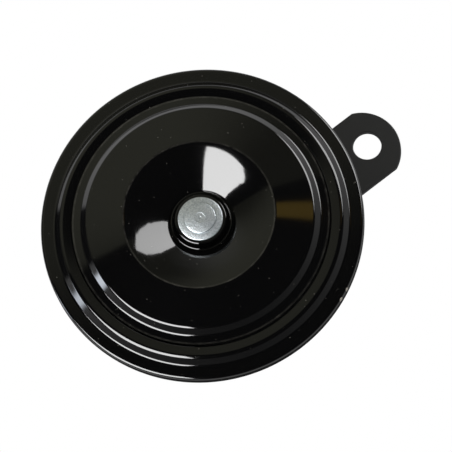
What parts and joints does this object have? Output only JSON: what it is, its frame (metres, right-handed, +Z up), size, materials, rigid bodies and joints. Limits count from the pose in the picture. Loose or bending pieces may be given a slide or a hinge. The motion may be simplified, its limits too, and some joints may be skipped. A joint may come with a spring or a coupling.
{
  "type": "car horn",
  "caption": "Round disc-type electric car horn with a stepped rear can, dished tone disc on a central stem, and a flat mounting strap with a bolt hole.",
  "frame": {"origin": "centre of the mounting strap's bolt hole, halfway through the strap", "axes": "the horn's front faces -Y along its axis, and +Z runs up the strap, away from the horn"},
  "size_m": [0.093, 0.0627, 0.1133],
  "materials": {
    "gloss_black_paint": "gloss",
    "satin_black_paint": "satin",
    "zinc_plating": "satin",
    "bare_steel": "satin",
    "spring_steel": "satin",
    "gasket_fibre": "matte",
    "black_nylon": "satin",
    "natural_nylon": "satin",
    "enamelled_copper": "gloss",
    "phenolic_board": "satin",
    "tinned_brass": "satin",
    "contact_metal": "satin",
    "sealing_lacquer": "gloss",
    "resistor_ceramic": "matte"
  },
  "bodies": {
    "housing": {"adjusting_screw": "zinc_plating", "adjusting_screw_seal": "sealing_lacquer", "bracket_nut": "zinc_plating", "bracket_spacer": "zinc_plating", "bracket_spring_washer": "zinc_plating", "bracket_washer": "zinc_plating", "breaker_base": "phenolic_board", "breaker_insulator_1": "phenolic_board", "breaker_insulator_2": "phenolic_board", "breaker_insulator_3": "phenolic_board", "breaker_rivet_1": "zinc_plating", "breaker_rivet_2": "zinc_plating", "coil_bobbin": "natural_nylon", "coil_lead_breaker": "enamelled_copper", "coil_lead_terminal": "enamelled_copper", "coil_seat_washer": "spring_steel", "coil_winding": "enamelled_copper", "diaphragm": "satin_black_paint", "feed_lead": "enamelled_copper", "fixed_contact_arm": "tinned_brass", "fixed_contact_tip": "contact_metal", "front_gasket": "gasket_fibre", "front_ring": "gloss_black_paint", "mounting_bracket": "satin_black_paint", "moving_contact_spring": "spring_steel", "pole_core": "zinc_plating", "rear_gasket": "gasket_fibre", "rear_housing": "gloss_black_paint", "suppression_resistor": "resistor_ceramic", "terminal_blade_1": "tinned_brass", "terminal_blade_2": "tinned_brass", "terminal_block": "black_nylon", "terminal_rivet_1": "zinc_plating", "terminal_rivet_2": "zinc_plating", "yoke_plate": "bare_steel", "yoke_rivet_1": "zinc_plating", "yoke_rivet_2": "zinc_plating", "yoke_rivet_3": "zinc_plating"},
    "vibrator": {"armature": "zinc_plating", "pusher_bush": "natural_nylon", "disc_spacer": "bare_steel", "diaphragm_washer": "bare_steel", "tone_disc": "gloss_black_paint", "stem_collar": "zinc_plating"}
  },
  "joints": [
    {"name": "armature_stroke", "type": "slide", "parent": "housing", "child": "vibrator", "axis": [0, -1, 0], "range_m": [-0.0007, 0.0004], "stiffness_N_per_m": 20000, "deforming": ["diaphragm", "moving_contact_spring"]}
  ]
}
